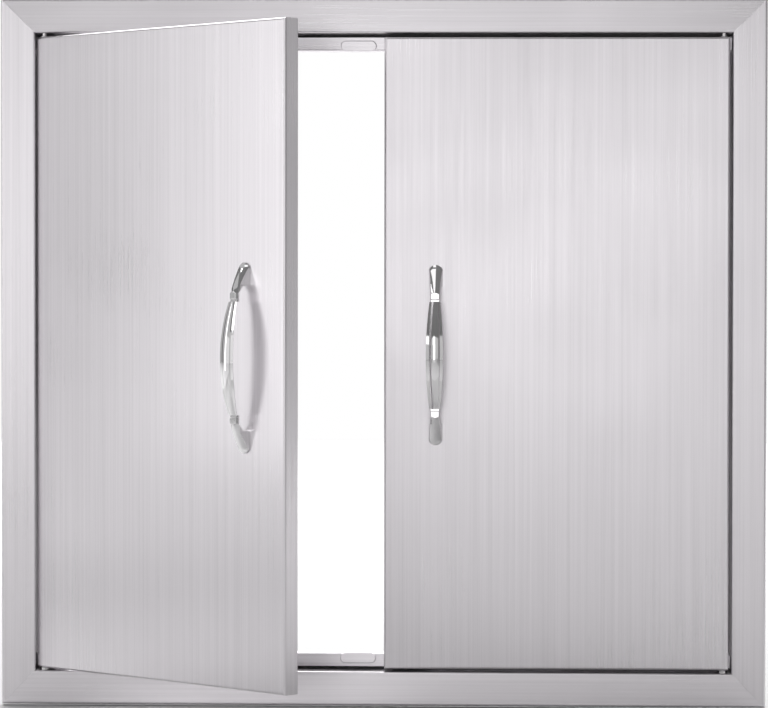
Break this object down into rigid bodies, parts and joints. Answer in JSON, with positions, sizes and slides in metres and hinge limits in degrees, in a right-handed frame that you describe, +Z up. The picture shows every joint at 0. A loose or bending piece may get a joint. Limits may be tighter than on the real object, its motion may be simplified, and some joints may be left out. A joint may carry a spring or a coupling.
{
  "type": "island access door",
  "caption": "Access door set for an outdoor grill island: folded steel frame, hollow doors on upright pivot pins, bowed bar handles, stop rails with magnetic catches; left door stands open.",
  "frame": {"origin": "middle of the wall's cut-out, on the wall face that the frame's rim rests on", "axes": "+X to the right as seen from the front, +Y into the wall, +Z up; the doors face -Y"},
  "size_m": [0.6604, 0.2159, 0.6096],
  "materials": {
    "frame": "brushed along each member",
    "door": "brushed upright",
    "liner": "plain mill",
    "rail": "brushed along",
    "catch": "polished",
    "strike": "plain mill",
    "magnet": "dull plated",
    "pin": "turned",
    "block": "machined",
    "screw": "turned",
    "handle": "polished"
  },
  "bodies": {
    "frame": {"catch_bottom_left": "catch", "catch_bottom_right": "catch", "catch_top_left": "catch", "catch_top_right": "catch", "corner_plate_bottom_left": "frame", "corner_plate_bottom_right": "frame", "corner_plate_top_left": "frame", "corner_plate_top_right": "frame", "frame_bottom": "frame", "frame_left": "frame", "frame_right": "frame", "frame_top": "frame", "magnet_bottom_left": "magnet", "magnet_bottom_right": "magnet", "magnet_top_left": "magnet", "magnet_top_right": "magnet", "pivot_pin_bottom_left": "pin", "pivot_pin_bottom_right": "pin", "pivot_pin_top_left": "pin", "pivot_pin_top_right": "pin", "stop_rail_bottom": "rail", "stop_rail_top": "rail"},
    "left_door": {"left_door_liner": "liner", "left_door_skin": "door", "left_handle": "handle", "left_handle_screws": "screw", "left_hinge_block_bottom": "block", "left_hinge_block_top": "block", "left_strike_plates": "strike"},
    "right_door": {"right_door_liner": "liner", "right_door_skin": "door", "right_handle": "handle", "right_handle_screws": "screw", "right_hinge_block_bottom": "block", "right_hinge_block_top": "block", "right_strike_plates": "strike"}
  },
  "joints": [
    {"name": "left_door_hinge", "type": "hinge", "parent": "frame", "child": "left_door", "pos_m": [-0.2932, -0.0052, 0], "axis": [0, 0, -1], "range_deg": [-38, 67]},
    {"name": "right_door_hinge", "type": "hinge", "parent": "frame", "child": "right_door", "pos_m": [0.2932, -0.0052, 0], "axis": [0, 0, 1], "range_deg": [0, 105]}
  ]
}
